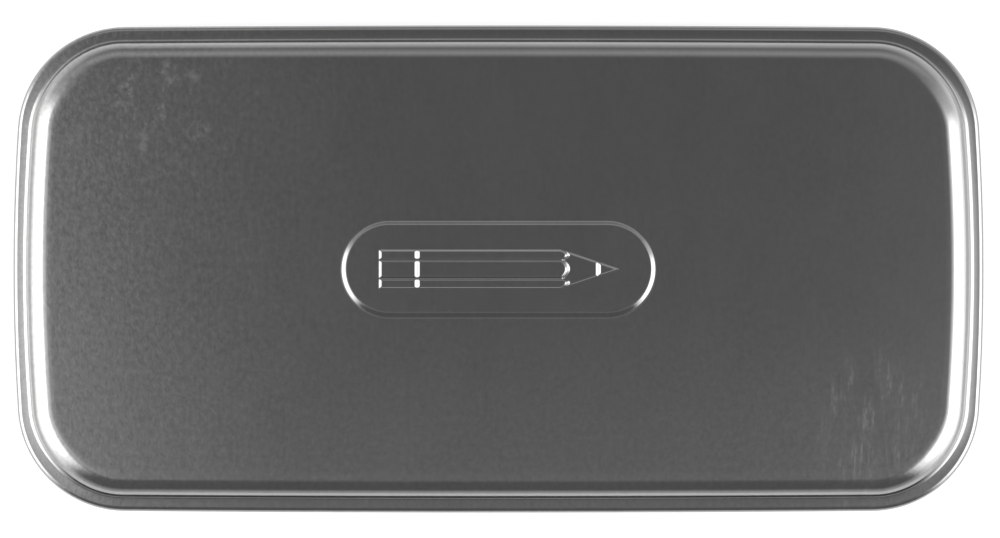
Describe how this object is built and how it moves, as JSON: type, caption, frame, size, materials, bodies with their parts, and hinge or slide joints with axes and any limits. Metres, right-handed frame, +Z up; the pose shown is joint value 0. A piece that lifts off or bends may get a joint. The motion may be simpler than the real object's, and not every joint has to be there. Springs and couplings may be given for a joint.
{
  "type": "colored pencil tin",
  "caption": "Flat tinplate box with a slip lid, for a row of colored pencils held in a moulded tray under a foam sheet.",
  "frame": {"origin": "middle of the ring that the base stands on, at the surface it stands on", "axes": "+X along the pencils towards their points, +Y across them, +Z up through the lid"},
  "size_m": [0.206, 0.1034, 0.0149],
  "materials": {
    "tinplate": "satin",
    "tray_sheet": "satin",
    "foam": "matte",
    "lacquered_cedar_yellow": "gloss",
    "pigment_core_yellow": "matte",
    "lacquered_cedar_orange": "gloss",
    "pigment_core_orange": "matte",
    "lacquered_cedar_vermilion": "gloss",
    "pigment_core_vermilion": "matte",
    "lacquered_cedar_crimson": "gloss",
    "pigment_core_crimson": "matte",
    "lacquered_cedar_pink": "gloss",
    "pigment_core_pink": "matte",
    "lacquered_cedar_violet": "gloss",
    "pigment_core_violet": "matte",
    "lacquered_cedar_blue": "gloss",
    "pigment_core_blue": "matte",
    "lacquered_cedar_sky_blue": "gloss",
    "pigment_core_sky_blue": "matte",
    "lacquered_cedar_green": "gloss",
    "pigment_core_green": "matte",
    "lacquered_cedar_light_green": "gloss",
    "pigment_core_light_green": "matte",
    "lacquered_cedar_brown": "gloss",
    "pigment_core_brown": "matte",
    "lacquered_cedar_black": "gloss",
    "pigment_core_black": "matte"
  },
  "bodies": {
    "base": {"base_shell": "tinplate"},
    "lid": {"lid_shell": "tinplate"},
    "tray": {"pencil_tray": "tray_sheet"},
    "foam": {"foam_sheet": "foam"},
    "pencil_01": {"pencil_01_casing": "lacquered_cedar_yellow", "pencil_01_core": "pigment_core_yellow"},
    "pencil_02": {"pencil_02_casing": "lacquered_cedar_orange", "pencil_02_core": "pigment_core_orange"},
    "pencil_03": {"pencil_03_casing": "lacquered_cedar_vermilion", "pencil_03_core": "pigment_core_vermilion"},
    "pencil_04": {"pencil_04_casing": "lacquered_cedar_crimson", "pencil_04_core": "pigment_core_crimson"},
    "pencil_05": {"pencil_05_casing": "lacquered_cedar_pink", "pencil_05_core": "pigment_core_pink"},
    "pencil_06": {"pencil_06_casing": "lacquered_cedar_violet", "pencil_06_core": "pigment_core_violet"},
    "pencil_07": {"pencil_07_casing": "lacquered_cedar_blue", "pencil_07_core": "pigment_core_blue"},
    "pencil_08": {"pencil_08_casing": "lacquered_cedar_sky_blue", "pencil_08_core": "pigment_core_sky_blue"},
    "pencil_09": {"pencil_09_casing": "lacquered_cedar_green", "pencil_09_core": "pigment_core_green"},
    "pencil_10": {"pencil_10_casing": "lacquered_cedar_light_green", "pencil_10_core": "pigment_core_light_green"},
    "pencil_11": {"pencil_11_casing": "lacquered_cedar_brown", "pencil_11_core": "pigment_core_brown"},
    "pencil_12": {"pencil_12_casing": "lacquered_cedar_black", "pencil_12_core": "pigment_core_black"}
  },
  "joints": [
    {"name": "lid_lift", "type": "slide", "parent": "base", "child": "lid", "axis": [0, 0, 1], "range_m": [0, 0.08]},
    {"name": "foam_lift", "type": "slide", "parent": "base", "child": "foam", "axis": [0, 0, 1], "range_m": [0, 0.044]},
    {"name": "tray_lift", "type": "slide", "parent": "base", "child": "tray", "axis": [0, 0, 1], "range_m": [0, 0.02]},
    {"name": "pencil_01_lift", "type": "slide", "parent": "tray", "child": "pencil_01", "axis": [0, 0, 1], "range_m": [0, 0.015]},
    {"name": "pencil_02_lift", "type": "slide", "parent": "tray", "child": "pencil_02", "axis": [0, 0, 1], "range_m": [0, 0.015]},
    {"name": "pencil_03_lift", "type": "slide", "parent": "tray", "child": "pencil_03", "axis": [0, 0, 1], "range_m": [0, 0.015]},
    {"name": "pencil_04_lift", "type": "slide", "parent": "tray", "child": "pencil_04", "axis": [0, 0, 1], "range_m": [0, 0.015]},
    {"name": "pencil_05_lift", "type": "slide", "parent": "tray", "child": "pencil_05", "axis": [0, 0, 1], "range_m": [0, 0.015]},
    {"name": "pencil_06_lift", "type": "slide", "parent": "tray", "child": "pencil_06", "axis": [0, 0, 1], "range_m": [0, 0.015]},
    {"name": "pencil_07_lift", "type": "slide", "parent": "tray", "child": "pencil_07", "axis": [0, 0, 1], "range_m": [0, 0.015]},
    {"name": "pencil_08_lift", "type": "slide", "parent": "tray", "child": "pencil_08", "axis": [0, 0, 1], "range_m": [0, 0.015]},
    {"name": "pencil_09_lift", "type": "slide", "parent": "tray", "child": "pencil_09", "axis": [0, 0, 1], "range_m": [0, 0.015]},
    {"name": "pencil_10_lift", "type": "slide", "parent": "tray", "child": "pencil_10", "axis": [0, 0, 1], "range_m": [0, 0.015]},
    {"name": "pencil_11_lift", "type": "slide", "parent": "tray", "child": "pencil_11", "axis": [0, 0, 1], "range_m": [0, 0.015]},
    {"name": "pencil_12_lift", "type": "slide", "parent": "tray", "child": "pencil_12", "axis": [0, 0, 1], "range_m": [0, 0.015]}
  ],
  "couplings": [
    {"joint": "foam_lift", "follows": "lid_lift", "ratio": 0.55},
    {"joint": "tray_lift", "follows": "lid_lift", "ratio": 0.25},
    {"joint": "pencil_01_lift", "follows": "lid_lift", "ratio": 0.1875},
    {"joint": "pencil_02_lift", "follows": "lid_lift", "ratio": 0.1875},
    {"joint": "pencil_03_lift", "follows": "lid_lift", "ratio": 0.1875},
    {"joint": "pencil_04_lift", "follows": "lid_lift", "ratio": 0.1875},
    {"joint": "pencil_05_lift", "follows": "lid_lift", "ratio": 0.1875},
    {"joint": "pencil_06_lift", "follows": "lid_lift", "ratio": 0.1875},
    {"joint": "pencil_07_lift", "follows": "lid_lift", "ratio": 0.1875},
    {"joint": "pencil_08_lift", "follows": "lid_lift", "ratio": 0.1875},
    {"joint": "pencil_09_lift", "follows": "lid_lift", "ratio": 0.1875},
    {"joint": "pencil_10_lift", "follows": "lid_lift", "ratio": 0.1875},
    {"joint": "pencil_11_lift", "follows": "lid_lift", "ratio": 0.1875},
    {"joint": "pencil_12_lift", "follows": "lid_lift", "ratio": 0.1875}
  ]
}
